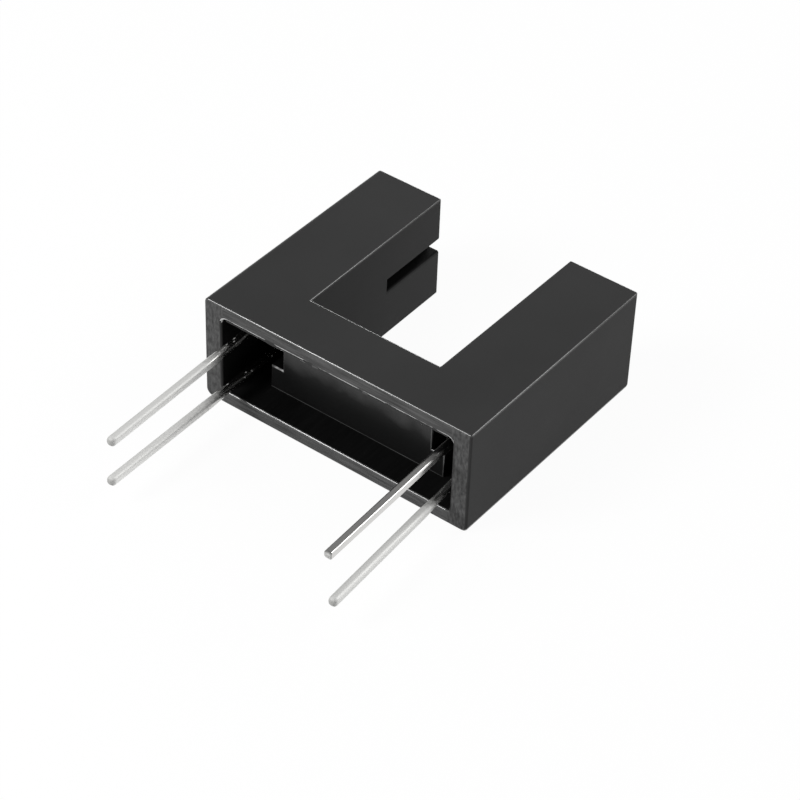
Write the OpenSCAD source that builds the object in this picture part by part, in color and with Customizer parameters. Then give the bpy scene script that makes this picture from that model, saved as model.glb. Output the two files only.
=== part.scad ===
// Slotted optical switch. A U-shaped moulded housing holds an infrared LED in one arm and a
// phototransistor in the other, so that a flag passing between the arms cuts the light.
// X runs across the arms, +Y from the seat rim to the arm tips and Z through the thickness.
// The origin is the middle of the lead pattern, in the plane of the seat rim.

/* [Sensing slot] */
// Gap between the arms at the slot floor
slot_w = 7.5; // [5:0.1:12]
// Depth of the slot from the arm tips to its floor
slot_depth = 10.2; // [8:0.1:16]
// Amount that each slot face leans outwards between the floor and the mouth
slot_draft = 0.08; // [0:0.01:0.2]

/* [Housing] */
// Wall between the slot and the lens channel
aperture_wall = 0.65; // [0.4:0.05:1.2]
// Outer wall of each arm
side_wall = 1; // [0.6:0.05:1.6]
// Each of the two broad walls
face_wall = 0.74; // [0.5:0.02:1.2]
// Wall that closes each arm at its tip
tip_wall = 0.8; // [0.5:0.05:1.5]
// Wall between the slot floor and the base recess
floor_wall = 1.3; // [0.6:0.05:2]
// Depth of the base recess behind the seat rim
recess_depth = 1.7; // [1:0.05:3]
// Corner radius of the base recess
recess_r = 0.3; // [0.1:0.05:0.6]
// Radius of the long outer edges
edge_r = 0.1; // [0.05:0.01:0.3]
// Radius of the four outer corners of the U outline
corner_r = 0.25; // [0.1:0.01:0.5]

/* [Aperture slits] */
// Width of the light slit in each arm
slit_w = 0.7; // [0.4:0.02:1.2]
// Height of the slit's middle above the middle plane
slit_rise = 0.1; // [0:0.02:0.2]
// Reach of the slit from the optical axis towards the slot floor
slit_reach = 1.7; // [0.9:0.05:2.5]
// Bevel of the slit's lips where it opens into the slot
slit_lip = 0.12; // [0.04:0.01:0.2]

/* [Optical packages] */
// Width of a package, across the two leads
package_w = 4.3; // [3.8:0.05:5]
// Thickness of a package without its lens
package_t = 1.5; // [1.3:0.05:2]
// Height of a package
package_h = 5.7; // [4.5:0.1:7]
// Chamfer on the two upper corners of a package
package_chamfer = 0.5; // [0.2:0.05:0.8]
// Radius of the lens dome
lens_r = 0.79; // [0.6:0.01:0.95]
// Height of the lens dome over the package face
lens_rise = 0.61; // [0.4:0.01:0.7]
// Distance from the top of the package to the optical axis
lens_drop = 1.7; // [1.3:0.05:2.2]
// Gap between a package and each broad wall of its pocket
package_gap = 0.03; // [0.01:0.01:0.1]
// Gap behind a package
back_gap = 0.1; // [0.02:0.01:0.2]
// Gap round the lens in its channel
lens_gap = 0.1; // [0.05:0.01:0.2]

/* [Leads] */
// Distance between the two leads of a package
lead_pitch = 2.54; // [2:0.02:3]
// Side of the square lead section
lead_side = 0.4; // [0.3:0.01:0.5]
// Length of the LED's leads beyond the seat rim
led_lead_length = 8.58; // [4:0.02:15]
// Length of the phototransistor's leads beyond the seat rim
sensor_lead_length = 8.7; // [4:0.02:15]
// Straight stretch of each lead below its package
lead_neck = 0.4; // [0.2:0.05:1]
// Chamfer on the cut lead ends
lead_chamfer = 0.08; // [0.02:0.01:0.12]
// Shift of the lead plane behind the middle of the package
lead_setback = 0.1; // [0:0.01:0.2]

/* [Lead bends] */
// Bend of the LED's upper lead tip, away from the slot
led_upper_out = 0.5; // [-0.8:0.01:0.8]
// Bend of the LED's upper lead tip, upwards
led_upper_up = 0.07; // [-0.8:0.01:0.8]
// Bend of the LED's lower lead tip, away from the slot
led_lower_out = 0.74; // [-0.8:0.01:0.8]
// Bend of the LED's lower lead tip, downwards
led_lower_down = 0.13; // [-0.8:0.01:0.8]
// Bend of the phototransistor's upper lead tip, away from the slot
sensor_upper_out = -0.05; // [-0.8:0.01:0.8]
// Bend of the phototransistor's upper lead tip, downwards
sensor_upper_down = 0.43; // [-0.8:0.01:0.8]
// Bend of the phototransistor's lower lead tip, away from the slot
sensor_lower_out = 0.07; // [-0.8:0.01:0.8]
// Bend of the phototransistor's lower lead tip, downwards
sensor_lower_down = 0.34; // [-0.8:0.01:0.8]

/* [Chips] */
// Height of the paddle that carries a chip
paddle_h = 1.1; // [0.9:0.05:1.4]
// Reach of the paddle past the optical axis
paddle_reach = 0.5; // [0.4:0.02:0.6]
// Height of the bonding post
post_h = 0.7; // [0.5:0.05:1]
// Reach of the bonding post towards the chip
post_reach = 0.3; // [0.1:0.02:0.35]
// Side of the LED chip
led_chip_side = 0.36; // [0.2:0.02:0.5]
// Side of the phototransistor chip
sensor_chip_side = 0.6; // [0.4:0.02:0.8]
// Thickness of a chip
chip_t = 0.2; // [0.1:0.01:0.25]
// Thickness of the adhesive under a chip
adhesive_t = 0.03; // [0.02:0.01:0.05]
// Border of adhesive that shows round a chip
adhesive_border = 0.04; // [0.01:0.01:0.08]
// Diameter of a bond wire
wire_d = 0.03; // [0.02:0.005:0.05]
// Height of the wire loop over a chip
wire_loop = 0.16; // [0.08:0.01:0.2]

/* [Hidden] */
$fn = 64;

// Side of the slot on which each package sits
LED_SIDE = 1;
SENSOR_SIDE = -1;

// Where each lead tip lies from the place where its lead crosses the seat rim when straight
LED_UPPER_TIP = [led_upper_out, -led_lead_length, led_upper_up];
LED_LOWER_TIP = [led_lower_out, -led_lead_length, -led_lower_down];
SENSOR_UPPER_TIP = [sensor_upper_out, -sensor_lead_length, -sensor_upper_down];
SENSOR_LOWER_TIP = [sensor_lower_out, -sensor_lead_length, -sensor_lower_down];

// Overrun of every cut past the face that it opens
cut = 0.05;
// Thickness of the slices between which a lead is stretched
slice = 0.01;
wire_sides = 8;
wire_steps = 10;

// Stations along X, from the middle of the slot outwards
x_slot = slot_w / 2;
x_channel = x_slot + aperture_wall;
x_pocket = x_channel + lens_rise + lens_gap;
x_back = x_pocket + package_t + back_gap;
x_side = x_back + side_wall;
x_lead = x_pocket + package_t / 2 + lead_setback;
x_paddle = x_lead - lead_side / 2;
x_chip = x_paddle - adhesive_t;
x_bond = x_chip - chip_t;

// Stations along Y, from the seat rim to the arm tips
y_floor = recess_depth + floor_wall;
y_tip = y_floor + slot_depth;
y_seat = y_tip - tip_wall;
y_axis = y_seat - lens_drop;
y_foot = y_seat - package_h;

// Heights from the middle plane
z_pocket = package_w / 2 + package_gap;
z_face = z_pocket + face_wall;
z_lead = lead_pitch / 2;
z_channel = lens_r + lens_gap;
z_post = z_lead - post_reach / 2;

module rounded_rectangle(a, b, r) {
    square([a - 2 * r, b], center = true);
    square([a, b - 2 * r], center = true);
    for (i = [-1, 1], j = [-1, 1])
        translate([i * (a / 2 - r), j * (b / 2 - r)]) circle(r);
}

// A box given by its lowest and highest corners
module block(low, high) {
    translate(low) cube(high - low);
}

// Draws the right-hand arm's pieces on either side of the slot
module on_side(side) {
    mirror([side < 0 ? 1 : 0, 0, 0]) children();
}

module body_block() {
    intersection() {
        translate([0, y_tip / 2, -z_face])
            linear_extrude(2 * z_face) rounded_rectangle(2 * x_side, y_tip, corner_r);
        rotate([-90, 0, 0])
            linear_extrude(y_tip) rounded_rectangle(2 * x_side, 2 * z_face, edge_r);
        translate([-x_side, y_tip / 2, 0]) rotate([0, 90, 0])
            linear_extrude(2 * x_side) rounded_rectangle(2 * z_face, y_tip, edge_r);
    }
}

module slot_cut() {
    lean = slot_draft * (slot_depth + cut) / slot_depth;
    translate([0, 0, -z_face - cut])
        linear_extrude(2 * (z_face + cut))
            polygon([[-x_slot, y_floor], [x_slot, y_floor],
                [x_slot + lean, y_tip + cut], [-x_slot - lean, y_tip + cut]]);
}

module recess_cut() {
    translate([0, -cut, 0]) rotate([-90, 0, 0])
        linear_extrude(recess_depth + cut) rounded_rectangle(2 * x_back, 2 * z_pocket, recess_r);
}

// The light slit, open at the arm tip, with its lips bevelled where it meets the slot
module slit_cut() {
    half = slit_w / 2;
    y_start = y_axis - slit_reach;
    x_mouth = x_slot + slot_draft;
    past = slot_draft + cut;
    outer = half + slit_lip + past;
    translate([0, y_start, slit_rise]) rotate([-90, 0, 0])
        linear_extrude(y_tip + cut - y_start)
            polygon([[x_mouth - past, -outer], [x_mouth + slit_lip, -half], [x_channel + cut, -half],
                [x_channel + cut, half], [x_mouth + slit_lip, half], [x_mouth - past, outer]]);
}

// The package pocket, the channel that its lens slides along and the slit
module arm_cuts() {
    block([x_pocket, recess_depth - cut, -z_pocket], [x_back, y_seat, z_pocket]);
    block([x_channel, recess_depth - cut, -z_channel], [x_pocket + cut, y_seat, z_channel]);
    slit_cut();
}

module housing() {
    color("#383838") difference() {
        body_block();
        slot_cut();
        recess_cut();
        for (side = [-1, 1]) on_side(side) arm_cuts();
    }
}

// The part of a lead outside its package, bent a little and chamfered at its cut end
module lead_tail(z, reach) {
    y_bend = y_foot - lead_neck;
    half = lead_side / 2;
    tip = [x_lead, 0, z] + reach;
    end = half - lead_chamfer;
    hull() {
        block([x_lead - half, y_bend - slice, z - half], [x_lead + half, y_bend, z + half]);
        block(tip + [-half, lead_chamfer, -half], tip + [half, lead_chamfer + slice, half]);
        block(tip + [-end, 0, -end], tip + [end, slice, end]);
    }
}

module lead_shank(z, top) {
    half = lead_side / 2;
    block([x_lead - half, y_foot - lead_neck - slice, z - half], [x_lead + half, top, z + half]);
}

// The upper lead, which ends in the paddle under the chip
module paddle_lead(reach) {
    half = lead_side / 2;
    lead_tail(z_lead, reach);
    lead_shank(z_lead, y_axis);
    block([x_lead - half, y_axis - paddle_h / 2, -paddle_reach],
        [x_lead + half, y_axis + paddle_h / 2, z_lead + half]);
}

// The lower lead, which ends in the post that takes the bond wire
module post_lead(reach) {
    half = lead_side / 2;
    lead_tail(-z_lead, reach);
    lead_shank(-z_lead, y_axis);
    block([x_lead - half, y_axis - post_h / 2, -z_lead - half],
        [x_lead + half, y_axis + post_h / 2, -z_lead + half + post_reach]);
}

module adhesive(side) {
    half = side / 2 + adhesive_border;
    block([x_chip, y_axis - half, -half], [x_paddle, y_axis + half, half]);
}

module chip(side) {
    half = side / 2;
    block([x_bond, y_axis - half, -half], [x_chip, y_axis + half, half]);
}

// The wire rises from the chip, arches over and comes down square on to the post
function wire_x(t) = t < 90 ? x_bond - wire_loop * sin(t)
    : x_paddle - (x_paddle - x_bond + wire_loop) * sin(t);
function wire_z(t) = -z_post * (1 - cos(t)) / 2;
function wire_tilt(t) = atan2(
    (t < 90 ? wire_loop : x_paddle - x_bond + wire_loop) * cos(t), z_post * sin(t) / 2);
function wire_ring(t) = [for (j = [0 : wire_sides - 1])
    let (turn = 360 * j / wire_sides, across = wire_d / 2 * cos(turn), tilt = wire_tilt(t))
    [wire_x(t) + across * cos(tilt), y_axis + wire_d / 2 * sin(turn), wire_z(t) - across * sin(tilt)]];

module bond_wire() {
    points = [for (i = [0 : wire_steps]) each wire_ring(180 * i / wire_steps)];
    sides = [for (i = [0 : wire_steps - 1], j = [0 : wire_sides - 1])
        let (k = (j + 1) % wire_sides, a = i * wire_sides, b = a + wire_sides)
        each [[a + j, a + k, b + j], [a + k, b + k, b + j]]];
    first = [for (j = [wire_sides - 1 : -1 : 0]) j];
    last = [for (j = [0 : wire_sides - 1]) wire_steps * wire_sides + j];
    polyhedron(points, concat([first, last], sides));
}

module package_outline() {
    half = package_w / 2;
    c = package_chamfer;
    polygon([[-half, y_foot], [half, y_foot], [half, y_seat - c], [half - c, y_seat],
        [-half + c, y_seat], [-half, y_seat - c]]);
}

// The clear or dark resin, moulded round everything that it carries
module moulding(chip_side, upper_reach, lower_reach) {
    difference() {
        union() {
            translate([x_pocket, 0, 0]) rotate([0, 90, 0]) mirror([1, 0, 0])
                linear_extrude(package_t) package_outline();
            translate([x_pocket + lens_r - lens_rise, y_axis, 0]) sphere(lens_r);
        }
        paddle_lead(upper_reach);
        post_lead(lower_reach);
        adhesive(chip_side);
        chip(chip_side);
        bond_wire();
    }
}

module led_moulding() {
    color("#d8dce6") on_side(LED_SIDE) moulding(led_chip_side, LED_UPPER_TIP, LED_LOWER_TIP);
}

module led_cathode_lead() {
    color("#cfcfcd") on_side(LED_SIDE) paddle_lead(LED_UPPER_TIP);
}

module led_anode_lead() {
    color("#cfcfcd") on_side(LED_SIDE) post_lead(LED_LOWER_TIP);
}

module led_chip() {
    color("#4a4a52") on_side(LED_SIDE) chip(led_chip_side);
}

module led_chip_adhesive() {
    color("#a8a8a8") on_side(LED_SIDE) adhesive(led_chip_side);
}

module led_bond_wire() {
    color("#d9b54a") on_side(LED_SIDE) bond_wire();
}

module phototransistor_moulding() {
    color("#1c1a1e") on_side(SENSOR_SIDE) moulding(sensor_chip_side, SENSOR_UPPER_TIP, SENSOR_LOWER_TIP);
}

module phototransistor_collector_lead() {
    color("#cfcfcd") on_side(SENSOR_SIDE) paddle_lead(SENSOR_UPPER_TIP);
}

module phototransistor_emitter_lead() {
    color("#cfcfcd") on_side(SENSOR_SIDE) post_lead(SENSOR_LOWER_TIP);
}

module phototransistor_chip() {
    color("#5a5a66") on_side(SENSOR_SIDE) chip(sensor_chip_side);
}

module phototransistor_chip_adhesive() {
    color("#a8a8a8") on_side(SENSOR_SIDE) adhesive(sensor_chip_side);
}

module phototransistor_bond_wire() {
    color("#d9b54a") on_side(SENSOR_SIDE) bond_wire();
}

housing();
led_moulding();
led_cathode_lead();
led_anode_lead();
led_chip();
led_chip_adhesive();
led_bond_wire();
phototransistor_moulding();
phototransistor_collector_lead();
phototransistor_emitter_lead();
phototransistor_chip();
phototransistor_chip_adhesive();
phototransistor_bond_wire();
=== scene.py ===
from math import radians

import bmesh
import bpy
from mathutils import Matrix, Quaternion, Vector


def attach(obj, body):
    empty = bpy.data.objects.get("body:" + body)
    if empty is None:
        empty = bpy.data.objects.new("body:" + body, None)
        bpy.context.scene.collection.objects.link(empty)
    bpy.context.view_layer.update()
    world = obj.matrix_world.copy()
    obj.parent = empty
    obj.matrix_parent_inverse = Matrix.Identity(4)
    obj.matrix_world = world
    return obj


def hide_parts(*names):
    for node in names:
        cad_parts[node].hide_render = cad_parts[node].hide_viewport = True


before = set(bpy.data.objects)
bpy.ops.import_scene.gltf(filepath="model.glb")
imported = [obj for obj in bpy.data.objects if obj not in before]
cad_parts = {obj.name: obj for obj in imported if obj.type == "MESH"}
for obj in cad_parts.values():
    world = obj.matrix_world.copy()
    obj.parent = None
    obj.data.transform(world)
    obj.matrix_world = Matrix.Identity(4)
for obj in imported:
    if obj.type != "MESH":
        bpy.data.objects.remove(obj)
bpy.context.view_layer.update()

# Pieces are modelled with one unit to the millimetre, and then brought down to metres
MM_PER_M = 1000

# How faces and edges are told apart: the room for a match in millimetres, and parts of a unit normal
ROOM = 0.001
SQUARE = 0.9
FLAT = 0.985
TURNED = 0.3
TILTED = 0.1

# Sizes of the housing, in millimetres, as the part's source has them
SLOT_X = 3.75
SLOT_LEAN = 0.08
CHANNEL_X = 4.4
POCKET_X = 5.11
BACK_X = 6.71
SIDE_X = 7.71
RECESS_Y = 1.7
FLOOR_Y = 3.0
SLIT_Y = 9.0
SEAT_Y = 12.4
TIP_Y = 13.2
SLIT_LOW = -0.25
SLIT_HIGH = 0.45
CHANNEL_Z = 0.89
POCKET_Z = 2.18
FACE_Z = 2.92
RECESS_R = 0.3

# How far a core reaches into the space that it opens to, and a slit's cutter out of the arm
CORE_OVER = 0.05
SLIT_OVER = 0.3

# Rounding of the housing's corners, in millimetres
OUTER_R = 0.08
LEFT_HEAD_R = 0.2
LEFT_FOOT_R = 0.38
RIGHT_FOOT_R = 0.25
UPRIGHT_R = 0.12
TIP_CORNER_R = 0.16
SLOT_FLOOR_R = 0.11
UPPER_LIP_R = 0.1
LOWER_LIP_R = 0.16
LIP_END_R = 0.22
MOUTH_R = 0.1
CORE_R = 0.08
WIDEST_R = 0.25
LIP_REACH = 0.2

# Flash along the upper lip of the recess mouth: its drop, set-back, thickness, raggedness,
# even ends and nicks
FLASH_DROP = 0.05
FLASH_SET = 0.006
FLASH_T = 0.03
FLASH_RAGGED = 0.025
FLASH_END = 0.05
FLASH_NICKS = 39

# Finishes of the housing, in the order of its material slots
SATIN, RIM_AND_FOOT_HIGHLIGHT, CORE, DRAWN_AND_SHADED, RUBBED_AND_HIGHLIGHT, TORN_AND_GLINT = range(6)

# Sizes of the packages and their leads, in millimetres
PACKAGE_Z = 2.15
PACKAGE_T = 1.5
PACKAGE_CHAMFER = 0.5
PACKAGE_EDGE_R = 0.05
FOOT_Y = 6.7
AXIS_Y = 10.7
LENS_R = 0.79
LENS_RISE = 0.61
LEAD_X = 5.96
LEAD_Z = 1.27
LEAD_HALF = 0.2
PLATED_HALF = 0.21
LED_LEAD_END_Y = -8.58
SENSOR_LEAD_END_Y = -8.7
LEAD_BEND_Y = 6.3
LEAD_ROLL = 0.18
LEAD_BURR = 0.09
PLATED_Y = -0.2
DIP_Y = -0.5
DIP_FULL_Y = -1.7
DIP_HALF = 0.23
DIP_ROUND = 0.2
PADDLE_HALF = 0.55
PADDLE_REACH = 0.5
POST_HALF = 0.35
POST_REACH = 0.3

# How a lead's edges and faces are told apart, in millimetres along it and as a part of a unit normal:
# edges that go round it, those of its tip, and the sheared face
LEAD_ROUND_RUN = 0.5
LEAD_TIP_RUN = 0.2
SHEARED_RUN = 0.3
SHEARED_TILT = 0.15

# Share of its size that a package keeps at its broad faces, which the mould's draft narrows
PACKAGE_DRAFT = (1, 0.985, 0.98)

# Where finishes change, in millimetres: corners are rubbed less towards the tips, the cores' painted sheen
# fades downwards, and solder ends raggedly at its start and is painted darker at its tip, as painted shade
RUB_FADE_Y = 6
RUB_FADED_Y = 10
PAINTED_SHEEN_FOOT_Z = -0.5
PAINTED_SHEEN_HEAD_Z = 0.6
PAINTED_SHEEN_DRIFT = 0.7
SOLDER_RAGGED = 0.4
PAINTED_TIP_SHADE_RUN = 0.3
PAINTED_TIP_SHADE_FULL_RUN = 0.03

# The way that a lead's upper side faces, seen across the lead from the front: solder is painted darker
# on the side that faces this way and on the side that faces away, as painted shade
PAINTED_SHADE_AXIS = (-0.82, 0, 0.57)


# Modelling

def block(name, low, high):
    """A cube primitive at its size and place, one unit to the millimetre."""
    bpy.ops.object.select_all(action="DESELECT")
    middle = [(a + b) / 2 for a, b in zip(low, high)]
    size = [b - a for a, b in zip(low, high)]
    bpy.ops.mesh.primitive_cube_add(size=1, location=middle, scale=size)
    bpy.ops.object.transform_apply(location=True, rotation=True, scale=True)
    piece = bpy.context.object
    piece.name = piece.data.name = name
    return piece


def edit(piece):
    """Edit mode on one piece, with nothing selected in it."""
    bpy.ops.object.select_all(action="DESELECT")
    bpy.context.view_layer.objects.active = piece
    piece.select_set(True)
    bpy.ops.object.mode_set(mode="EDIT")
    bpy.ops.mesh.select_all(action="DESELECT")


def pick_faces(piece, test):
    """Selects the faces whose centre and normal pass the test, and no others."""
    bpy.ops.mesh.select_mode(type="FACE")
    bpy.ops.mesh.select_all(action="DESELECT")
    shape = bmesh.from_edit_mesh(piece.data)
    for face in shape.faces:
        face.select_set(test(face.calc_center_median(), face.normal))
    bmesh.update_edit_mesh(piece.data)


def pick_edges(piece, test):
    """Selects the edges whose two ends pass the test, and no others."""
    bpy.ops.mesh.select_mode(type="EDGE")
    bpy.ops.mesh.select_all(action="DESELECT")
    shape = bmesh.from_edit_mesh(piece.data)
    for edge in shape.edges:
        edge.select_set(test(edge.verts[0].co, edge.verts[1].co))
    bmesh.update_edit_mesh(piece.data)


def cut_across(piece, point, normal):
    """Bisects the whole piece with a plane and keeps both halves."""
    bpy.ops.mesh.select_all(action="SELECT")
    bpy.ops.mesh.bisect(plane_co=point, plane_no=normal)


def near(a, b, room=ROOM):
    """Whether two lengths are the same, give or take a little room."""
    return abs(a - b) < room


def carve(piece, cutter, operation="DIFFERENCE"):
    """Takes the cutter out of the piece, or adds it, and deletes the cutter."""
    bpy.ops.object.select_all(action="DESELECT")
    bpy.context.view_layer.objects.active = piece
    piece.select_set(True)
    carving = piece.modifiers.new("carve", "BOOLEAN")
    carving.operation = operation
    carving.solver = "EXACT"
    carving.object = cutter
    bpy.ops.object.modifier_apply(modifier=carving.name)
    bpy.data.objects.remove(cutter)


def weigh_edges(piece, radius_of):
    """Stores the radius that each edge is to be rounded to, as its bevel weight."""
    shape = bmesh.new()
    shape.from_mesh(piece.data)
    weight = shape.edges.layers.float.new("bevel_weight_edge")
    for edge in shape.edges:
        edge[weight] = radius_of(edge.verts[0].co, edge.verts[1].co)
    shape.to_mesh(piece.data)
    shape.free()


def round_edges(piece, width, segments, by_weight=False):
    """Rounds the edges and shades the piece smooth, with flat faces left flat."""
    bpy.ops.object.select_all(action="DESELECT")
    bpy.context.view_layer.objects.active = piece
    piece.select_set(True)
    rounding = piece.modifiers.new("round", "BEVEL")
    rounding.width = width
    rounding.segments = segments
    rounding.limit_method = "WEIGHT" if by_weight else "ANGLE"
    rounding.angle_limit = radians(25)
    rounding.use_clamp_overlap = False
    bpy.ops.object.modifier_apply(modifier=rounding.name)
    bpy.ops.object.shade_smooth_by_angle(angle=radians(40))
    flatness = piece.modifiers.new("flatness", "WEIGHTED_NORMAL")
    flatness.keep_sharp = True
    bpy.ops.object.modifier_apply(modifier=flatness.name)


def hand_over(piece, node, materials):
    """Brings a finished piece down to metres and puts it in its CAD node's place."""
    bpy.ops.object.select_all(action="DESELECT")
    bpy.context.view_layer.objects.active = piece
    piece.select_set(True)
    piece.scale = [1 / MM_PER_M] * 3
    bpy.ops.object.transform_apply(location=False, rotation=False, scale=True)
    for material in materials:
        piece.data.materials.append(material)
    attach(piece, "root")
    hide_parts(node)


# Materials

def linear(code):
    """An sRGB hex colour as linear values."""
    values = [int(code[i:i + 2], 16) / 255 for i in (1, 3, 5)]
    return [v / 12.92 if v <= 0.04045 else ((v + 0.055) / 1.055) ** 2.4 for v in values] + [1]


def per_mm(size):
    """The texture scale whose features are about this many millimetres across."""
    return MM_PER_M / size


def add(tree, kind, settings=None, links=None):
    """Adds one node, with its settings and its links from other nodes' outputs."""
    node = tree.nodes.new(kind)
    for name, value in (settings or {}).items():
        if isinstance(name, int) or name in node.inputs:
            node.inputs[name].default_value = value
        else:
            setattr(node, name, value)
    for name, source in (links or {}).items():
        tree.links.new(source, node.inputs[name])
    return node


def blank(name):
    """A new material with an empty node tree."""
    material = bpy.data.materials.new(name)
    material.use_nodes = True
    material.node_tree.nodes.clear()
    return material, material.node_tree


# Glass-filled PBT, moulded in a finely eroded tool: charcoal, even, with a low satin sheen. Its grain is
# drawn coarser than real, so that it shows
def satin_pbt():
    material, tree = blank("pbt_moulded_satin")
    place = add(tree, "ShaderNodeTexCoord").outputs["Object"]
    cloud = add(tree, "ShaderNodeTexNoise", {"Scale": per_mm(4), "Detail": 3}, {"Vector": place})
    grain = add(tree, "ShaderNodeTexNoise", {"Scale": per_mm(0.09), "Detail": 2}, {"Vector": place})
    tone = add(tree, "ShaderNodeValToRGB", {}, {"Fac": cloud.outputs["Fac"]})
    tone.color_ramp.elements[0].position = 0.3
    tone.color_ramp.elements[0].color = linear("#323232")
    tone.color_ramp.elements[1].position = 0.7
    tone.color_ramp.elements[1].color = linear("#353535")
    gloss = add(tree, "ShaderNodeMapRange", {"To Min": 0.45, "To Max": 0.55},
                {"Value": grain.outputs["Fac"]})
    relief = add(tree, "ShaderNodeBump", {"Strength": 0.25, "Distance": 0.004 / MM_PER_M},
                 {"Height": grain.outputs["Fac"]})
    shader = add(tree, "ShaderNodeBsdfPrincipled", {"IOR": 1.5, "Specular IOR Level": 0.06},
                 {"Base Color": tone.outputs["Color"], "Roughness": gloss.outputs["Result"],
                  "Normal": relief.outputs["Normal"]})
    add(tree, "ShaderNodeOutputMaterial", {}, {"Surface": shader.outputs["BSDF"]})
    return material


# The same PBT where handling has rubbed the corners: shinier than the faces, less so at the tips, and
# paler, partly from the wear and partly as a painted highlight along the corners
def rubbed_and_highlight_pbt():
    material, tree = blank("pbt_rubbed_corner_and_painted_highlight")
    place = add(tree, "ShaderNodeTexCoord").outputs["Object"]
    rub = add(tree, "ShaderNodeTexNoise", {"Scale": per_mm(0.8), "Detail": 3}, {"Vector": place})
    tone = add(tree, "ShaderNodeValToRGB", {}, {"Fac": rub.outputs["Fac"]})
    tone.color_ramp.elements[0].position = 0.35
    tone.color_ramp.elements[0].color = linear("#363636")
    tone.color_ramp.elements[1].position = 0.65
    tone.color_ramp.elements[1].color = linear("#3c3c3c")
    gloss = add(tree, "ShaderNodeMapRange", {"To Min": 0.2, "To Max": 0.15},
                {"Value": rub.outputs["Fac"]})
    parts = add(tree, "ShaderNodeSeparateXYZ", {}, {"Vector": place})
    wear = add(tree, "ShaderNodeMapRange",
               {"From Min": RUB_FADE_Y / MM_PER_M, "From Max": RUB_FADED_Y / MM_PER_M,
                "To Min": 0.75, "To Max": 0.45},
               {"Value": parts.outputs["Y"]})
    shader = add(tree, "ShaderNodeBsdfPrincipled", {"IOR": 1.5},
                 {"Base Color": tone.outputs["Color"], "Roughness": gloss.outputs["Result"],
                  "Specular IOR Level": wear.outputs["Result"]})
    add(tree, "ShaderNodeOutputMaterial", {}, {"Surface": shader.outputs["BSDF"]})
    return material


# The same PBT where the rim was trimmed: greyer, with fine streaks along each wall of the rim. Along the
# foot of the recess floor the same greyer tone is a painted highlight line
def rim_and_foot_highlight_pbt():
    material, tree = blank("pbt_trimmed_rim_and_painted_foot_line")
    place = add(tree, "ShaderNodeTexCoord").outputs["Object"]
    across = add(tree, "ShaderNodeMapping", {"Scale": (0.06, 1, 1)}, {"Vector": place})
    upright = add(tree, "ShaderNodeMapping", {"Scale": (1, 1, 0.4)}, {"Vector": place})
    long_streak = add(tree, "ShaderNodeTexNoise", {"Scale": per_mm(0.12), "Detail": 3},
                      {"Vector": across.outputs["Vector"]})
    side_streak = add(tree, "ShaderNodeTexNoise", {"Scale": per_mm(0.13), "Detail": 4},
                      {"Vector": upright.outputs["Vector"]})
    parts = add(tree, "ShaderNodeSeparateXYZ", {}, {"Vector": place})
    reach = add(tree, "ShaderNodeMath", {"operation": "ABSOLUTE"}, {0: parts.outputs["X"]})
    on_side = add(tree, "ShaderNodeMath", {"operation": "GREATER_THAN", 1: (BACK_X - MOUTH_R) / MM_PER_M},
                  {0: reach.outputs[0]})
    streak = add(tree, "ShaderNodeMix", {"data_type": "FLOAT"},
                 {"Factor": on_side.outputs[0], "A": long_streak.outputs["Fac"],
                  "B": side_streak.outputs["Fac"]})
    tone = add(tree, "ShaderNodeValToRGB", {}, {"Fac": streak.outputs["Result"]})
    tone.color_ramp.elements[0].position = 0.3
    tone.color_ramp.elements[0].color = linear("#303030")
    tone.color_ramp.elements[1].position = 0.75
    tone.color_ramp.elements[1].color = linear("#5a5a5a")
    relief = add(tree, "ShaderNodeBump", {"Strength": 0.3, "Distance": 0.006 / MM_PER_M},
                 {"Height": streak.outputs["Result"]})
    shader = add(tree, "ShaderNodeBsdfPrincipled",
                 {"IOR": 1.5, "Roughness": 0.5, "Specular IOR Level": 0.1},
                 {"Base Color": tone.outputs["Color"], "Normal": relief.outputs["Normal"]})
    add(tree, "ShaderNodeOutputMaterial", {}, {"Surface": shader.outputs["BSDF"]})
    return material


# The same PBT along the recess mouth, where flash tore off: pale flecks on black, partly whitened torn
# plastic and partly painted glints. At a notch of the recess floor the pale flecks are painted glints
def torn_and_glint_pbt():
    material, tree = blank("pbt_torn_flash_and_painted_glint")
    place = add(tree, "ShaderNodeTexCoord").outputs["Object"]
    fleck = add(tree, "ShaderNodeTexNoise", {"Scale": per_mm(0.9), "Detail": 2}, {"Vector": place})
    tone = add(tree, "ShaderNodeValToRGB", {}, {"Fac": fleck.outputs["Fac"]})
    tone.color_ramp.elements[0].position = 0.4
    tone.color_ramp.elements[0].color = linear("#202020")
    tone.color_ramp.elements[1].position = 0.52
    tone.color_ramp.elements[1].color = linear("#c0c0c0")
    shader = add(tree, "ShaderNodeBsdfPrincipled", {"IOR": 1.5, "Roughness": 0.28},
                 {"Base Color": tone.outputs["Color"]})
    add(tree, "ShaderNodeOutputMaterial", {}, {"Surface": shader.outputs["BSDF"]})
    return material
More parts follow.
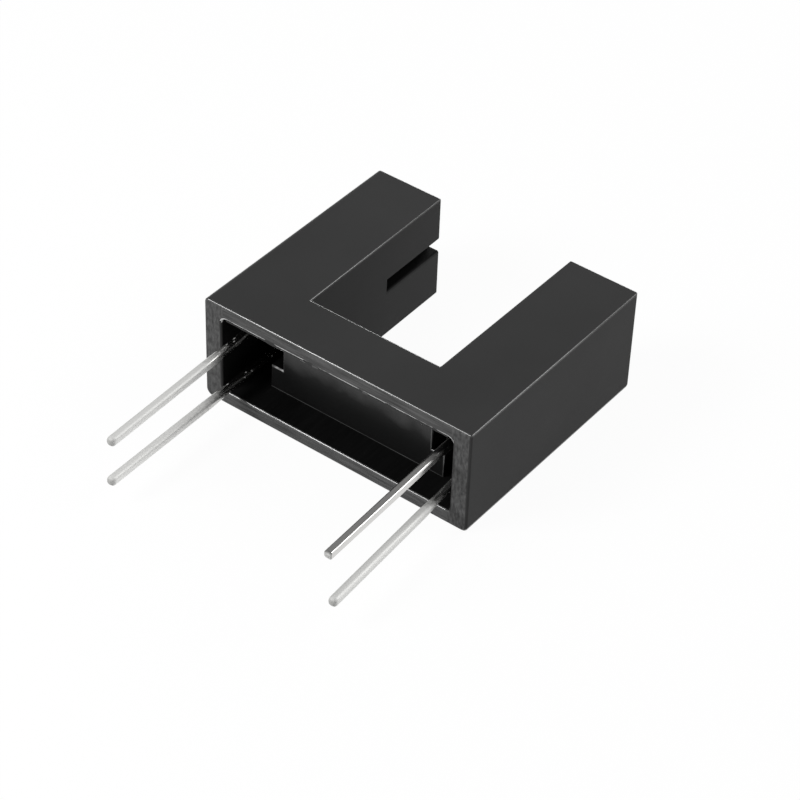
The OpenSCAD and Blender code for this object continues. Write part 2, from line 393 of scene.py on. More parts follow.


# The same PBT inside, against polished cores: a soft gloss on a near-black tone that is painted shade,
# and a painted sheen that makes it lighter towards the top
def smooth_pbt():
    material, tree = blank("pbt_polished_core_painted_shade_sheen")
    place = add(tree, "ShaderNodeTexCoord").outputs["Object"]
    flow = add(tree, "ShaderNodeTexNoise", {"Scale": per_mm(1.2), "Detail": 4}, {"Vector": place})
    gloss = add(tree, "ShaderNodeMapRange", {"To Min": 0.24, "To Max": 0.38},
                {"Value": flow.outputs["Fac"]})
    parts = add(tree, "ShaderNodeSeparateXYZ", {}, {"Vector": place})
    # The tone is painted lighter towards the top, as a painted sheen
    drift = add(tree, "ShaderNodeMapRange",
                {"To Min": -PAINTED_SHEEN_DRIFT / MM_PER_M, "To Max": PAINTED_SHEEN_DRIFT / MM_PER_M},
                {"Value": flow.outputs["Fac"]})
    height = add(tree, "ShaderNodeMath", {"operation": "ADD"},
                 {0: parts.outputs["Z"], 1: drift.outputs["Result"]})
    painted_sheen = add(tree, "ShaderNodeMapRange",
                {"From Min": PAINTED_SHEEN_FOOT_Z / MM_PER_M, "From Max": PAINTED_SHEEN_HEAD_Z / MM_PER_M},
                {"Value": height.outputs[0]})
    tone = add(tree, "ShaderNodeValToRGB", {}, {"Fac": painted_sheen.outputs["Result"]})
    tone.color_ramp.elements[0].color = linear("#151515")
    tone.color_ramp.elements[1].color = linear("#404040")
    shader = add(tree, "ShaderNodeBsdfPrincipled", {"IOR": 1.5, "Specular IOR Level": 0.12},
                 {"Base Color": tone.outputs["Color"], "Roughness": gloss.outputs["Result"]})
    add(tree, "ShaderNodeOutputMaterial", {}, {"Surface": shader.outputs["BSDF"]})
    return material


# The same PBT on the walls that were drawn along the cores: dull and scuffed along the draw, and
# near-black as painted shade in the recess, cores and slits
def drawn_and_shaded_pbt():
    material, tree = blank("pbt_drawn_wall_painted_shade")
    place = add(tree, "ShaderNodeTexCoord").outputs["Object"]
    along = add(tree, "ShaderNodeMapping", {"Scale": (1, 0.08, 1)}, {"Vector": place})
    scuff = add(tree, "ShaderNodeTexNoise", {"Scale": per_mm(0.15), "Detail": 3},
                {"Vector": along.outputs["Vector"]})
    tone = add(tree, "ShaderNodeValToRGB", {}, {"Fac": scuff.outputs["Fac"]})
    tone.color_ramp.elements[0].position = 0.35
    tone.color_ramp.elements[0].color = linear("#040404")
    tone.color_ramp.elements[1].position = 0.75
    tone.color_ramp.elements[1].color = linear("#0b0b0b")
    shader = add(tree, "ShaderNodeBsdfPrincipled",
                 {"IOR": 1.5, "Roughness": 0.65, "Specular IOR Level": 0.12},
                 {"Base Color": tone.outputs["Color"]})
    add(tree, "ShaderNodeOutputMaterial", {}, {"Surface": shader.outputs["BSDF"]})
    return material


# Tin plated on a stamped copper alloy: mirror-like, with faint lines along the lead, coarser than real so
# that they show
def tin_shader(tree, place):
    along = add(tree, "ShaderNodeMapping", {"Scale": (1, 0.05, 1)}, {"Vector": place})
    line = add(tree, "ShaderNodeTexNoise", {"Scale": per_mm(0.1), "Detail": 3},
               {"Vector": along.outputs["Vector"]})
    gloss = add(tree, "ShaderNodeMapRange", {"To Min": 0.14, "To Max": 0.24},
                {"Value": line.outputs["Fac"]})
    relief = add(tree, "ShaderNodeBump", {"Strength": 0.03, "Distance": 0.002 / MM_PER_M},
                 {"Height": line.outputs["Fac"]})
    return add(tree, "ShaderNodeBsdfPrincipled", {"Base Color": linear("#d0cfcd"), "Metallic": 1},
               {"Roughness": gloss.outputs["Result"], "Normal": relief.outputs["Normal"]})


# The lead that the solder missed: bright tin from end to end
def bright_tin():
    material, tree = blank("tin_plated_bright")
    place = add(tree, "ShaderNodeTexCoord").outputs["Object"]
    tin = tin_shader(tree, place)
    add(tree, "ShaderNodeOutputMaterial", {}, {"Surface": tin.outputs["BSDF"]})
    return material


# Solder that a lead was dipped in: pale and frosted, with painted shade at its tip and along its upper
# and lower sides, and pale specks on bare tin at its start that are painted glints
def dipped_solder(name, tip, start, full, haze, painted_glints, painted_under_shade):
    material, tree = blank(name)
    surface = add(tree, "ShaderNodeTexCoord")
    place = surface.outputs["Object"]
    tin = tin_shader(tree, place)
    parts = add(tree, "ShaderNodeSeparateXYZ", {}, {"Vector": place})
    ripple = add(tree, "ShaderNodeTexNoise", {"Scale": per_mm(0.7), "Detail": 2}, {"Vector": place})
    ragged = add(tree, "ShaderNodeTexNoise", {"Scale": per_mm(0.2), "Detail": 2}, {"Vector": place})
    shift = add(tree, "ShaderNodeMapRange",
                {"To Min": -SOLDER_RAGGED / MM_PER_M, "To Max": SOLDER_RAGGED / MM_PER_M},
                {"Value": ragged.outputs["Fac"]})
    reach = add(tree, "ShaderNodeMath", {"operation": "ADD"},
                {0: parts.outputs["Y"], 1: shift.outputs["Result"]})
    film = add(tree, "ShaderNodeMapRange",
               {"From Min": start / MM_PER_M, "From Max": full / MM_PER_M, "To Min": haze},
               {"Value": reach.outputs[0]})
    # Pale specks of solder, stretched along the lead, are painted glints
    glint_stretch = add(tree, "ShaderNodeMapping", {"Scale": (1, 0.45, 1)}, {"Vector": place})
    glint_cell = add(tree, "ShaderNodeTexVoronoi", {"Scale": per_mm(0.2)}, {"Vector": glint_stretch.outputs["Vector"]})
    painted_glint = add(tree, "ShaderNodeMapRange", {"From Min": 0.22, "From Max": 0.12, "To Max": painted_glints},
                {"Value": glint_cell.outputs["Distance"]})
    cover_and_glints = add(tree, "ShaderNodeMath", {"operation": "MAXIMUM"},
                {0: film.outputs["Result"], 1: painted_glint.outputs["Result"]})
    painted_tip_shade = add(tree, "ShaderNodeMapRange",
              {"From Min": (tip + PAINTED_TIP_SHADE_RUN) / MM_PER_M, "From Max": (tip + PAINTED_TIP_SHADE_FULL_RUN) / MM_PER_M,
               "To Max": 0.85},
              {"Value": parts.outputs["Y"]})
    # The solder is painted darker on its upper and lower sides and at its tip, as painted shade
    turn = add(tree, "ShaderNodeVectorMath", {"operation": "DOT_PRODUCT", 1: PAINTED_SHADE_AXIS},
               {0: surface.outputs["Normal"]})
    upper = add(tree, "ShaderNodeMapRange", {"To Max": 0.5}, {"Value": turn.outputs["Value"]})
    lower = add(tree, "ShaderNodeMapRange", {"From Min": -0.5, "From Max": -1, "To Max": painted_under_shade},
                {"Value": turn.outputs["Value"]})
    painted_side_shade = add(tree, "ShaderNodeMath", {"operation": "MAXIMUM"},
                {0: upper.outputs["Result"], 1: lower.outputs["Result"]})
    painted_shade = add(tree, "ShaderNodeMath", {"operation": "MAXIMUM"},
                  {0: painted_side_shade.outputs[0], 1: painted_tip_shade.outputs["Result"]})
    tone = add(tree, "ShaderNodeValToRGB", {}, {"Fac": painted_shade.outputs[0]})
    tone.color_ramp.elements[0].color = linear("#f6f6f4")
    tone.color_ramp.elements[1].color = linear("#8c8c8a")
    metal = add(tree, "ShaderNodeMapRange", {"To Min": 0.5, "To Max": 0.1},
                {"Value": painted_tip_shade.outputs["Result"]})
    gloss = add(tree, "ShaderNodeMapRange", {"To Min": 0.56, "To Max": 0.66},
                {"Value": ripple.outputs["Fac"]})
    frost = add(tree, "ShaderNodeBsdfPrincipled", {},
                {"Base Color": tone.outputs["Color"], "Metallic": metal.outputs["Result"],
                 "Roughness": gloss.outputs["Result"]})
    both = add(tree, "ShaderNodeMixShader", {},
               {0: cover_and_glints.outputs[0], 1: tin.outputs["BSDF"], 2: frost.outputs["BSDF"]})
    add(tree, "ShaderNodeOutputMaterial", {}, {"Surface": both.outputs["Shader"]})
    return material


# The sheared end of the bright lead: bare alloy, dull and pale grey, with painted shade on the faces
# that turn upwards
def sheared_alloy():
    material, tree = blank("copper_alloy_sheared_painted_shade")
    surface = add(tree, "ShaderNodeTexCoord")
    tear = add(tree, "ShaderNodeTexNoise", {"Scale": per_mm(0.15), "Detail": 2},
               {"Vector": surface.outputs["Object"]})
    # Faces that turn upwards are painted darker, as painted shade
    facing = add(tree, "ShaderNodeSeparateXYZ", {}, {"Vector": surface.outputs["Normal"]})
    faces_up_and_torn = add(tree, "ShaderNodeMath", {"operation": "ADD"},
                 {0: facing.outputs["Z"], 1: tear.outputs["Fac"]})
    painted_top_shade = add(tree, "ShaderNodeMapRange", {"From Min": 0.3, "From Max": 1.2},
               {"Value": faces_up_and_torn.outputs[0]})
    tone = add(tree, "ShaderNodeValToRGB", {}, {"Fac": painted_top_shade.outputs["Result"]})
    tone.color_ramp.elements[0].color = linear("#c8c8c6")
    tone.color_ramp.elements[1].color = linear("#6c6c6a")
    shader = add(tree, "ShaderNodeBsdfPrincipled", {"Metallic": 0.3, "Roughness": 0.6},
                 {"Base Color": tone.outputs["Color"]})
    add(tree, "ShaderNodeOutputMaterial", {}, {"Surface": shader.outputs["BSDF"]})
    return material


# Clear epoxy from a polished mould: water-clear with a faint cold tint
def clear_epoxy():
    material, tree = blank("clear_moulded_epoxy")
    place = add(tree, "ShaderNodeTexCoord").outputs["Object"]
    flow = add(tree, "ShaderNodeTexNoise", {"Scale": per_mm(2), "Detail": 2}, {"Vector": place})
    gloss = add(tree, "ShaderNodeMapRange", {"To Min": 0.02, "To Max": 0.08},
                {"Value": flow.outputs["Fac"]})
    shader = add(tree, "ShaderNodeBsdfPrincipled",
                 {"Base Color": linear("#e8ecf4"), "IOR": 1.55, "Transmission Weight": 1},
                 {"Roughness": gloss.outputs["Result"]})
    add(tree, "ShaderNodeOutputMaterial", {}, {"Surface": shader.outputs["BSDF"]})
    return material


# Epoxy dyed to pass only infrared: near-black with a violet cast and a wet gloss
def dark_epoxy():
    material, tree = blank("dark_moulded_epoxy")
    place = add(tree, "ShaderNodeTexCoord").outputs["Object"]
    flow = add(tree, "ShaderNodeTexNoise", {"Scale": per_mm(2), "Detail": 2}, {"Vector": place})
    gloss = add(tree, "ShaderNodeMapRange", {"To Min": 0.08, "To Max": 0.16},
                {"Value": flow.outputs["Fac"]})
    shader = add(tree, "ShaderNodeBsdfPrincipled", {"Base Color": linear("#0e0b10"), "IOR": 1.55},
                 {"Roughness": gloss.outputs["Result"]})
    add(tree, "ShaderNodeOutputMaterial", {}, {"Surface": shader.outputs["BSDF"]})
    return material


# Sawn and polished semiconductor: dark, metallic and slightly mottled
def polished_chip():
    material, tree = blank("sawn_semiconductor")
    place = add(tree, "ShaderNodeTexCoord").outputs["Object"]
    mottle = add(tree, "ShaderNodeTexNoise", {"Scale": per_mm(0.08), "Detail": 2}, {"Vector": place})
    tone = add(tree, "ShaderNodeValToRGB", {}, {"Fac": mottle.outputs["Fac"]})
    tone.color_ramp.elements[0].color = linear("#3c3c46")
    tone.color_ramp.elements[1].color = linear("#5c5c68")
    shader = add(tree, "ShaderNodeBsdfPrincipled", {"Metallic": 0.7, "Roughness": 0.25},
                 {"Base Color": tone.outputs["Color"]})
    add(tree, "ShaderNodeOutputMaterial", {}, {"Surface": shader.outputs["BSDF"]})
    return material


# Silver-filled adhesive, cured: pale grey and dull, with flakes drawn coarser than real so that they show
def silver_adhesive():
    material, tree = blank("silver_filled_adhesive")
    place = add(tree, "ShaderNodeTexCoord").outputs["Object"]
    flake = add(tree, "ShaderNodeTexVoronoi", {"Scale": per_mm(0.03)}, {"Vector": place})
    gloss = add(tree, "ShaderNodeMapRange", {"To Min": 0.35, "To Max": 0.7},
                {"Value": flake.outputs["Distance"]})
    shader = add(tree, "ShaderNodeBsdfPrincipled", {"Base Color": linear("#a8a8a6"), "Metallic": 0.6},
                 {"Roughness": gloss.outputs["Result"]})
    add(tree, "ShaderNodeOutputMaterial", {}, {"Surface": shader.outputs["BSDF"]})
    return material


# Drawn gold bond wire: warm yellow and bright, with marks drawn coarser than real so that they show
def gold_wire():
    material, tree = blank("drawn_gold_wire")
    place = add(tree, "ShaderNodeTexCoord").outputs["Object"]
    draw = add(tree, "ShaderNodeTexNoise", {"Scale": per_mm(0.02), "Detail": 1}, {"Vector": place})
    gloss = add(tree, "ShaderNodeMapRange", {"To Min": 0.15, "To Max": 0.3},
                {"Value": draw.outputs["Fac"]})
    shader = add(tree, "ShaderNodeBsdfPrincipled", {"Base Color": linear("#e6bf5a"), "Metallic": 1},
                 {"Roughness": gloss.outputs["Result"]})
    add(tree, "ShaderNodeOutputMaterial", {}, {"Surface": shader.outputs["BSDF"]})
    return material


# Housing

def housing_radius(a, b):
    """Rounding of one housing edge in millimetres, from where its two ends lie."""
    side = near(abs(a.x), SIDE_X) and near(abs(b.x), SIDE_X)
    base = near(a.y, 0) and near(b.y, 0)
    tip = near(a.y, TIP_Y) and near(b.y, TIP_Y)
    face = near(abs(a.z), FACE_Z) and near(abs(b.z), FACE_Z)
    slot_floor = near(a.y, FLOOR_Y) and near(b.y, FLOOR_Y)
    within = max(abs(a.x), abs(b.x)) < SLOT_X + SLOT_LEAN + ROOM
    slit = min(a.z, b.z) > SLIT_LOW - ROOM and max(a.z, b.z) < SLIT_HIGH + ROOM
    upper = min(a.z, b.z) > 0
    left_end = max(a.x, b.x) < LEFT_FOOT_R - SIDE_X + ROOM
    right_foot = min(a.x, b.x) > SLOT_X and max(a.z, b.z) < RIGHT_FOOT_R - FACE_Z + ROOM
    if (base or tip) and left_end:
        return OUTER_R
    if tip and (side or right_foot):
        return TIP_CORNER_R
    if side + base + tip + face >= 2:
        return OUTER_R if face else UPRIGHT_R
    if tip and slit:
        return LIP_END_R if upper else OUTER_R
    if within and slot_floor and face:
        return SLOT_FLOOR_R
    if within and (face or tip) and a.y > RECESS_Y:
        return OUTER_R
    if within and slit:
        return UPPER_LIP_R if upper else LOWER_LIP_R
    if base:
        return MOUTH_R
    if near(a.y, RECESS_Y) and near(b.y, RECESS_Y):
        return CORE_R
    return 0


def make_flash():
    """A thin ragged fin that hangs from the upper lip of the recess mouth."""
    reach = BACK_X - RECESS_R
    foot = POCKET_Z - FLASH_DROP
    flash = block("flash", (-reach, FLASH_SET, foot),
                  (reach, FLASH_SET + FLASH_T, POCKET_Z + MOUTH_R * 2))
    edit(flash)
    pick_edges(flash, lambda a, b: abs(a.x - b.x) > reach)
    bpy.ops.mesh.subdivide(number_cuts=FLASH_NICKS)
    pick_edges(flash, lambda a, b: near(a.z, foot) and near(b.z, foot)
               and max(abs(a.x), abs(b.x)) < reach - FLASH_END)
    bpy.ops.transform.vertex_random(offset=FLASH_RAGGED, uniform=1, normal=0, seed=4)
    bpy.ops.object.mode_set(mode="OBJECT")
    return flash


def clean_flats(housing):
    """Dissolves the edges within flat faces, but for four straight cuts across the rim."""
    # A slanted edge left at a corner of the rim would make the rounding there differ from run to run
    pick_edges(housing, lambda a, b: near(a.y, 0) and near(b.y, 0)
               and near(abs(a.x), SLOT_X) and near(a.x, b.x))
    bpy.ops.mesh.mark_seam()
    bpy.ops.mesh.select_all(action="SELECT")
    bpy.ops.mesh.dissolve_limited(angle_limit=radians(0.5), delimit={"SEAM"})


def make_housing():
    """The moulded U with its recess, cored arms and slits, and a trace of flash at the recess mouth."""
    housing = block("housing_shell", (-SIDE_X, 0, -FACE_Z), (SIDE_X, FLOOR_Y, FACE_Z))
    edit(housing)
    # The two arms rise from the ends of the base bar, and lean back a little from the slot
    for x in (-SLOT_X, SLOT_X):
        cut_across(housing, (x, 0, 0), (1, 0, 0))
    pick_faces(housing, lambda c, n: n.y > SQUARE and abs(c.x) > SLOT_X)
    bpy.ops.mesh.extrude_region_move(TRANSFORM_OT_translate={"value": (0, TIP_Y - FLOOR_Y, 0)})
    for side in (-1, 1):
        pick_edges(housing, lambda a, b: near(a.y, TIP_Y) and near(b.y, TIP_Y)
                   and near(a.x, side * SLOT_X) and near(b.x, side * SLOT_X))
        bpy.ops.transform.translate(value=(side * SLOT_LEAN, 0, 0))
    # The recess is let in from the seat rim and its corners are rounded
    rim = FACE_Z - POCKET_Z
    inset_x = SIDE_X - rim
    pick_faces(housing, lambda c, n: n.y < -SQUARE)
    bpy.ops.mesh.inset(thickness=rim)
    for side in (-1, 1):
        pick_edges(housing, lambda a, b: near(a.y, 0) and near(b.y, 0)
                   and near(a.x, side * inset_x) and near(b.x, side * inset_x))
        bpy.ops.transform.translate(value=(side * (BACK_X - inset_x), 0, 0))
    pick_faces(housing, lambda c, n: n.y < -SQUARE and abs(c.x) < BACK_X and near(c.z, 0))
    bpy.ops.mesh.extrude_region_move(TRANSFORM_OT_translate={"value": (0, RECESS_Y, 0)})
    pick_edges(housing, lambda a, b: near(abs(a.x), BACK_X) and near(abs(b.x), BACK_X)
               and near(abs(a.z), POCKET_Z) and near(a.z, b.z) and near(abs(a.y - b.y), RECESS_Y))
    bpy.ops.mesh.bevel(offset=RECESS_R, segments=5, affect="EDGES")
    clean_flats(housing)
    bpy.ops.mesh.select_all(action="SELECT")
    bpy.ops.mesh.normals_make_consistent(inside=False)
    # Three of the long corners are rounder than the rest
    for x, z, radius, steps in ((-SIDE_X, FACE_Z, LEFT_HEAD_R, 4), (-SIDE_X, -FACE_Z, LEFT_FOOT_R, 6),
                                (SIDE_X, -FACE_Z, RIGHT_FOOT_R, 3)):
        pick_edges(housing, lambda a, b: near(a.x, x) and near(b.x, x) and near(a.z, z) and near(b.z, z))
        bpy.ops.mesh.bevel(offset=radius, segments=steps, affect="EDGES")
    bpy.ops.object.mode_set(mode="OBJECT")
    # Each arm is cored for its package and lens, and slit through to the slot
    for side in (-1, 1):
        for low, high in (((POCKET_X, RECESS_Y - CORE_OVER, -POCKET_Z), (BACK_X, SEAT_Y, POCKET_Z)),
                          ((CHANNEL_X, RECESS_Y - CORE_OVER, -CHANNEL_Z),
                           (POCKET_X + CORE_OVER, SEAT_Y, CHANNEL_Z)),
                          ((SLOT_X - SLIT_OVER, SLIT_Y, SLIT_LOW),
                           (CHANNEL_X + CORE_OVER, TIP_Y + SLIT_OVER, SLIT_HIGH))):
            ends = sorted((side * low[0], side * high[0]))
            carve(housing, block("core", (ends[0], low[1], low[2]), (ends[1], high[1], high[2])))
    edit(housing)
    clean_flats(housing)
    bpy.ops.object.mode_set(mode="OBJECT")
    weigh_edges(housing, lambda a, b: housing_radius(a, b) / WIDEST_R)
    round_edges(housing, WIDEST_R, 4, by_weight=True)
    flash = make_flash()
    bpy.ops.object.select_all(action="DESELECT")
    flash.select_set(True)
    housing.select_set(True)
    bpy.context.view_layer.objects.active = housing
    bpy.ops.object.join()
    return housing


def lies_inside(corners):
    """Whether a face with these corners belongs to the recess, a cored arm or a slit."""
    slit = all(SLIT_LOW - ROOM < p.z < SLIT_HIGH + ROOM for p in corners)
    return slit or all(abs(p.x) < BACK_X + ROOM and abs(p.z) < POCKET_Z + ROOM
                       and (p.y < RECESS_Y + ROOM or abs(p.x) > SLOT_X + SLOT_LEAN) for p in corners)


def is_flash(corners):
    """Whether a face with these corners is on the fin of flash, or on the lip that it hangs from."""
    return all(near(p.y, FLASH_SET, FLASH_T * 2) and near(p.z, POCKET_Z, MOUTH_R * 2) for p in corners)


def on_lip(c):
    """Whether a face with this centre is on the rounded lips of a slit."""
    beside = SLIT_LOW - LIP_END_R < c.z < SLIT_HIGH + LIP_END_R
    return beside and c.y > SLIT_Y - LIP_REACH and abs(c.x) < CHANNEL_X


def floor_edge_finish(c, n):
    """The finish of one recess-floor edge: painted glints at the left notch, polished on all but one
    upright.
    """
    # Pale flecks at the left notch are painted glints
    if n.z > TILTED * 2 and near(c.z, -CHANNEL_Z, CORE_R) and -POCKET_X < c.x < -CHANNEL_X:
        return TORN_AND_GLINT
    if abs(n.x) > TURNED and not near(c.x, POCKET_X, CORE_R):
        return CORE
    return RUBBED_AND_HIGHLIGHT


def paint_housing(housing):
    """Gives the rim, cored inside, corners and recess mouth their finishes, some with painted shade and
    glints.
    """
    for face in housing.data.polygons:
        c = face.center * MM_PER_M
        n = face.normal
        corners = [housing.data.vertices[i].co * MM_PER_M for i in face.vertices]
        rounded = max(abs(n.x), abs(n.y), abs(n.z)) < FLAT
        mouth = abs(c.x) < BACK_X + MOUTH_R and abs(c.z) < POCKET_Z + MOUTH_R and c.y < MOUTH_R
        mouth_corner = mouth and c.x < RECESS_R - BACK_X and n.z < -TILTED
        # The foot of the recess floor gets the greyer rim tone as a painted highlight line
        foot_highlight_line = near(c.y, RECESS_Y) and abs(c.x) < POCKET_X and c.z < CORE_R / 2 - POCKET_Z
        if foot_highlight_line or (near(c.y, 0) and n.y < -SQUARE):
            face.material_index = RIM_AND_FOOT_HIGHLIGHT
        # The flash and the mouth's corner get pale flecks: whitened torn plastic and painted glints
        elif is_flash(corners) or (rounded and mouth_corner):
            face.material_index = TORN_AND_GLINT
        elif rounded and near(c.y, RECESS_Y, CORE_R):
            face.material_index = floor_edge_finish(c, n)
        # Faces of the recess, cores and slits get near-black finishes, whose dark tone is painted shade
        elif lies_inside(corners):
            face.material_index = CORE if n.y < -SQUARE else DRAWN_AND_SHADED
        # Rounded corners get the rubbed finish, paler partly as a painted highlight
        elif rounded and abs(n.z) > TILTED and not (mouth and abs(n.x) > TURNED) and not on_lip(c):
            face.material_index = RUBBED_AND_HIGHLIGHT


# Leads

def make_lead(name, side, top, tip, dipped):
    """One stamped lead: a shank with its paddle or post, and a tail a little bent, perhaps dipped."""
    x = side * LEAD_X
    z = LEAD_Z if top else -LEAD_Z
    half = PADDLE_HALF if top else POST_HALF
    inner = -PADDLE_REACH if top else -LEAD_Z + LEAD_HALF + POST_REACH
    lead = block(name, (x - LEAD_HALF, LEAD_BEND_Y, z - LEAD_HALF),
                 (x + LEAD_HALF, AXIS_Y + half, z + LEAD_HALF))
    edit(lead)
    cut_across(lead, (0, AXIS_Y - half, 0), (0, 1, 0))
    facing = -1 if top else 1
    pick_faces(lead, lambda c, n: n.z * facing > SQUARE and c.y > AXIS_Y - half)
    bpy.ops.mesh.extrude_region_move(
        TRANSFORM_OT_translate={"value": (0, 0, inner - (z + facing * LEAD_HALF))})
    # The tail is drawn out from station to station, and fills out where it is plated or dipped
    foot = Vector((x, LEAD_BEND_Y, z))
    tip = Vector((x + side * tip[0], tip[1], z + tip[2]))
    plated = ((PLATED_Y, LEAD_HALF), (DIP_FULL_Y, PLATED_HALF), (tip.y, PLATED_HALF))
    dip = ((DIP_Y, LEAD_HALF), (DIP_FULL_Y, DIP_HALF), (tip.y, DIP_HALF))
    pick_faces(lead, lambda c, n: n.y < -SQUARE and near(c.y, LEAD_BEND_Y))
    last = foot
    width = LEAD_HALF
    for y, spread in dip if dipped else plated:
        here = foot.lerp(tip, (LEAD_BEND_Y - y) / (LEAD_BEND_Y - tip.y))
        bpy.ops.mesh.extrude_region_move(TRANSFORM_OT_translate={"value": here - last})
        bpy.ops.transform.resize(value=(spread / width, 1, spread / width))
        last = here
        width = spread
    bpy.ops.object.mode_set(mode="OBJECT")

    def edge_radius(a, b):
        """Stamping rolls the tail's long edges over on one side, and solder rounds all that it covers."""
        middle = (a + b) / 2
        if max(a.y, b.y) > LEAD_BEND_Y + ROOM:
            return 0
        if abs(a.y - b.y) < LEAD_ROUND_RUN:
            if max(a.y, b.y) > tip.y + LEAD_TIP_RUN:
                return 0
            return DIP_ROUND if dipped else LEAD_BURR
        if dipped and middle.y < DIP_Y:
            return DIP_ROUND
        share = max(0, (LEAD_BEND_Y - middle.y) / (LEAD_BEND_Y - tip.y))
        return LEAD_ROLL if middle.x < foot.lerp(tip, share).x else LEAD_BURR

    weigh_edges(lead, lambda a, b: edge_radius(a, b) / DIP_ROUND)
    round_edges(lead, DIP_ROUND, 5, by_weight=True)
    return lead


# Packages

def make_moulding(name, side):
    """One epoxy package: a drafted block, parted at the lead plane, with its lens dome."""
    front = side * POCKET_X
    back = side * (POCKET_X + PACKAGE_T)
    low_x, high_x = sorted((front, back))
    moulding = block(name, (low_x, FOOT_Y, -PACKAGE_Z), (high_x, SEAT_Y, PACKAGE_Z))
    edit(moulding)
    pick_edges(moulding, lambda a, b: near(a.y, SEAT_Y) and near(b.y, SEAT_Y)
               and near(abs(a.z), PACKAGE_Z) and near(a.z, b.z))
    bpy.ops.mesh.bevel(offset=PACKAGE_CHAMFER, segments=1, affect="EDGES")
    cut_across(moulding, (side * LEAD_X, 0, 0), (1, 0, 0))
    for x in (front, back):
        pick_faces(moulding, lambda c, n: near(c.x, x) and abs(n.x) > SQUARE)
        bpy.ops.transform.resize(value=PACKAGE_DRAFT, center_override=(x, (FOOT_Y + SEAT_Y) / 2, 0))
    bpy.ops.object.mode_set(mode="OBJECT")
    round_edges(moulding, PACKAGE_EDGE_R, 2)
    bpy.ops.object.select_all(action="DESELECT")
    bpy.ops.mesh.primitive_uv_sphere_add(segments=48, ring_count=24, radius=LENS_R,
                                         location=(front + side * (LENS_R - LENS_RISE), AXIS_Y, 0))
    bpy.ops.object.transform_apply(location=True, rotation=True, scale=True)
    bpy.ops.object.shade_smooth()
    carve(moulding, bpy.context.object, "UNION")
    return moulding


# The part, piece by piece

tin = bright_tin()
sheared = sheared_alloy()
long_fade = dipped_solder("solder_dipped_long_fade_painted_shade_glints", tip=SENSOR_LEAD_END_Y, start=-0.95, full=-2.2,
                          haze=0, painted_glints=0.8, painted_under_shade=0.14)
short_fade = dipped_solder("solder_dipped_short_fade_painted_shade", tip=LED_LEAD_END_Y, start=-0.5, full=-1.4,
                           haze=0.06, painted_glints=0, painted_under_shade=0.4)
housing = make_housing()
hand_over(housing, "housing",
          [satin_pbt(), rim_and_foot_highlight_pbt(), smooth_pbt(), drawn_and_shaded_pbt(), rubbed_and_highlight_pbt(), torn_and_glint_pbt()])
paint_housing(housing)
for node, side, top, tip, finishes in (
        ("led_cathode_lead", 1, True, (0.5, LED_LEAD_END_Y, 0.07), [tin, sheared]),
        ("led_anode_lead", 1, False, (0.74, LED_LEAD_END_Y, -0.13), [short_fade]),
        ("phototransistor_collector_lead", -1, True, (-0.05, SENSOR_LEAD_END_Y, -0.43), [long_fade]),
        ("phototransistor_emitter_lead", -1, False, (0.07, SENSOR_LEAD_END_Y, -0.34), [long_fade])):
    lead = make_lead(node + "_tinned", side, top, tip, dipped=tin not in finishes)
    hand_over(lead, node, finishes)
    for face in lead.data.polygons:
        at_end = face.center.y * MM_PER_M < tip[1] + SHEARED_RUN and face.normal.y < -SHEARED_TILT
        if at_end and sheared in finishes:
            face.material_index = finishes.index(sheared)
hand_over(make_moulding("led_clear_package", 1), "led_moulding", [clear_epoxy()])
hand_over(make_moulding("phototransistor_dark_package", -1), "phototransistor_moulding",
          [dark_epoxy()])

chip_finish = polished_chip()
adhesive_finish = silver_adhesive()
wire_finish = gold_wire()
for node, finish in (("led_chip", chip_finish), ("phototransistor_chip", chip_finish),
                     ("led_chip_adhesive", adhesive_finish),
                     ("phototransistor_chip_adhesive", adhesive_finish),
                     ("led_bond_wire", wire_finish), ("phototransistor_bond_wire", wire_finish)):
    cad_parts[node].data.materials.clear()
    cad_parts[node].data.materials.append(finish)


# Floor, light and camera

def lamp(name, place, aim, width, height, power, roll=0):
    """A softbox aimed at a point, in millimetres, kept out of the camera's view."""
    bpy.ops.object.select_all(action="DESELECT")
    bpy.ops.object.light_add(type="AREA", location=[v / MM_PER_M for v in place])
    box = bpy.context.object
    box.name = name
    box.data.shape = "RECTANGLE"
    box.data.size = width / MM_PER_M
    box.data.size_y = height / MM_PER_M
    box.data.energy = power
    turn = (Vector(place) - Vector(aim)).to_track_quat("Z", "Y") @ Quaternion((0, 0, 1), radians(roll))
    box.rotation_euler = turn.to_euler()
    box.visible_camera = False


bpy.ops.object.select_all(action="DESELECT")
bpy.ops.mesh.primitive_plane_add(size=2, location=(0, 0, -FACE_Z / MM_PER_M))
floor = bpy.context.object
floor.name = "floor"
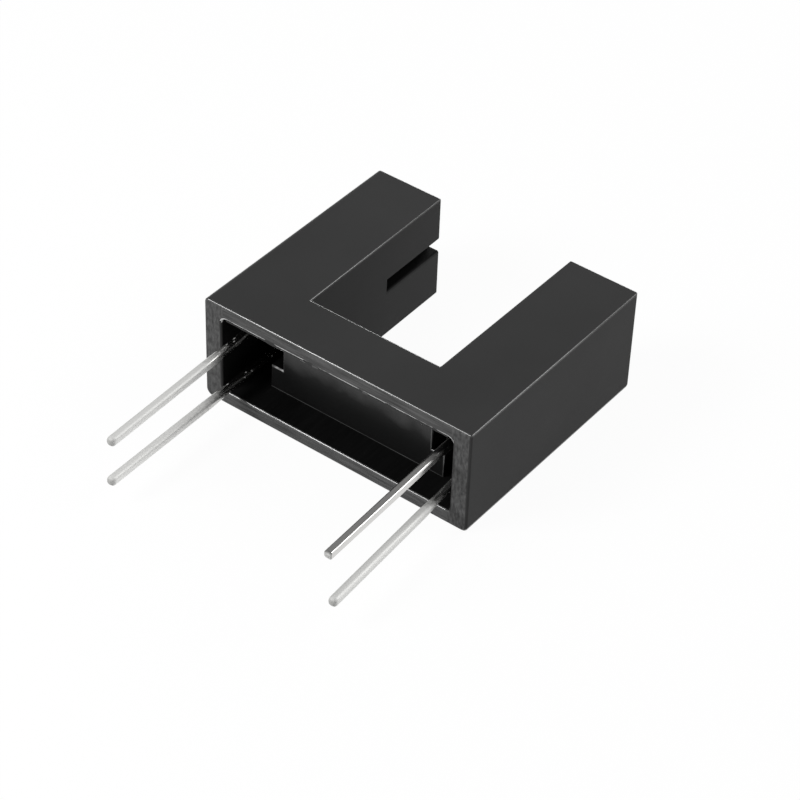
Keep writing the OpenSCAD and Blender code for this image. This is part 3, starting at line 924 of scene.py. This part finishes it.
# Matt white paper: plain white to the camera and in reflections, with a little of its own shade kept
paper, tree = blank("white_paper_floor")
path = add(tree, "ShaderNodeLightPath")
seen = add(tree, "ShaderNodeMath", {"operation": "MAXIMUM"},
           {0: path.outputs["Is Camera Ray"], 1: path.outputs["Is Glossy Ray"]})
seen = add(tree, "ShaderNodeMath", {"operation": "MAXIMUM"},
           {0: seen.outputs[0], 1: path.outputs["Is Transmission Ray"]})
share = add(tree, "ShaderNodeMath", {"operation": "MULTIPLY", 1: 0.95}, {0: seen.outputs[0]})
matt = add(tree, "ShaderNodeBsdfDiffuse", {"Color": linear("#fafafa")})
glow = add(tree, "ShaderNodeEmission", {"Color": linear("#ffffff"), "Strength": 1.0})
mixed = add(tree, "ShaderNodeMixShader", {},
            {0: share.outputs[0], 1: matt.outputs["BSDF"], 2: glow.outputs["Emission"]})
add(tree, "ShaderNodeOutputMaterial", {}, {"Surface": mixed.outputs["Shader"]})
# Only rays that see or reflect the glow find it, so it isn't sampled as a lamp
paper.cycles.emission_sampling = "NONE"
floor.data.materials.append(paper)

world = bpy.data.worlds.new("studio")
bpy.context.scene.world = world
world.use_nodes = True
sky = world.node_tree.nodes["Background"]
sky.inputs["Color"].default_value = linear("#ffffff")
sky.inputs["Strength"].default_value = 0.28

lamp("key_softbox", (-75, -110, 105), (0, 2, 0), width=82, height=82, power=0.187)
lamp("glint_strip", (-84, -106, 102), (0, 2, 0), width=10, height=110, power=0.06, roll=25)
lamp("back_strip", (-84, 174, 32), (0, 3, 2.9), width=110, height=28, power=0.087)
lamp("side_softbox", (92, 112, 106), (0, 4, 0), width=80, height=80, power=0.1)
lamp("low_fill_strip", (130, 105, 38), (0, 0, 0), width=120, height=45, power=0.013)

# The camera stands where the straight edges of the photograph put it
bpy.ops.object.camera_add(location=(0.0577138, -0.0741549, 0.081507),
                          rotation=(radians(49.371), radians(-1.6486), radians(37.4669)))
camera = bpy.context.object
camera.data.lens = 122.11
camera.data.clip_start = 0.005
camera.data.clip_end = 10
bpy.context.scene.camera = camera
bpy.context.scene.view_settings.view_transform = "Standard"
